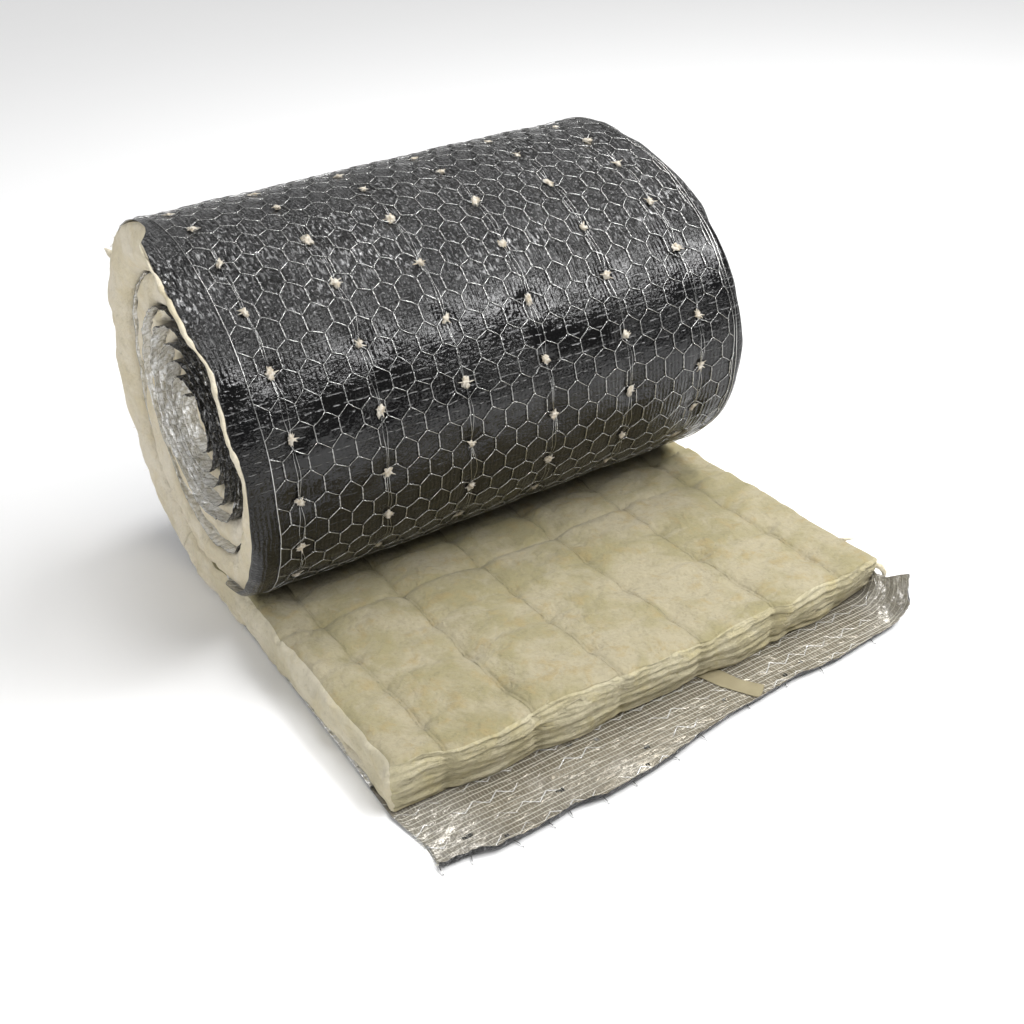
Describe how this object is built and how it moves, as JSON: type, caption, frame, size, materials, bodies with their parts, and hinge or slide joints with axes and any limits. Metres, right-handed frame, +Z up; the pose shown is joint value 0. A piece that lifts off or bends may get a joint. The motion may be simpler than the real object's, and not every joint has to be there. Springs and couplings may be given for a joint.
{
  "type": "insulation roll",
  "caption": "Part-unrolled mineral wool mat with a black foil facing and hexagonal wire netting stitched on, wool side up on the floor.",
  "frame": {"origin": "on the floor under the roll's axis, half way along the width of the wool", "axes": "+Z up, +Y along the roll's axis away from the end with the lip, +X along the unrolled length"},
  "size_m": [0.7951, 0.618, 0.4542],
  "materials": {
    "wool": "matte, fibrous",
    "facing_black": "glossy, finely streaked",
    "facing_silver": "crinkled foil with a scrim of fine threads",
    "netting": "galvanised wire",
    "tape": "matte"
  },
  "bodies": {
    "root": {"wool_mat": "wool", "foil_facing": "facing_black", "seam_tape": "tape"}
  },
  "joints": []
}
